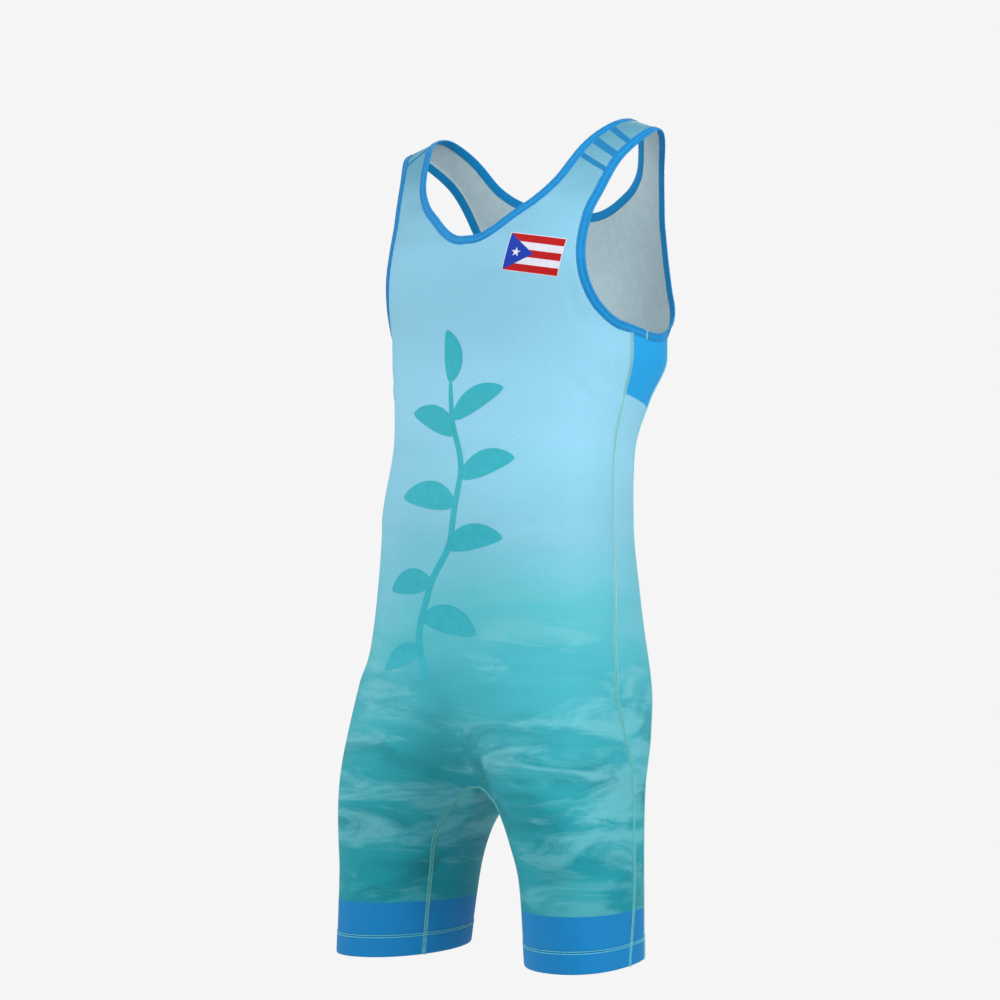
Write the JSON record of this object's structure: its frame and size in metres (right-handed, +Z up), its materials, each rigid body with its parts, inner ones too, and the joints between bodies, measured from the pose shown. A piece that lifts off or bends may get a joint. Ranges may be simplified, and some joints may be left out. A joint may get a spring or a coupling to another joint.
{
  "type": "wrestling singlet",
  "caption": "One-piece sleeveless wrestling suit with wide shoulder straps and short legs, standing out in its worn shape, with bound neck and armholes and a gusset between the legs.",
  "frame": {"origin": "under the middle of the two shoulder straps, midway between them, where the wearer's shoulders carry the suit", "axes": "+X to the wearer's left, -Y out of the chest, +Z up"},
  "size_m": [0.3422, 0.2648, 0.8565],
  "materials": {
    "printed_knit": "smooth stretch knit with a satin sheen, printed all over in pale blue going to green blue",
    "side_knit": "smooth stretch knit with a satin sheen, printed",
    "binding_tape": "folded stretch tape, matte"
  },
  "bodies": {
    "root": {"front_panel": "printed_knit", "back_panel": "printed_knit", "side_panel_left": "side_knit", "side_panel_right": "side_knit", "gusset": "printed_knit", "neck_binding": "binding_tape", "armhole_binding_left": "binding_tape", "armhole_binding_right": "binding_tape"}
  },
  "joints": []
}
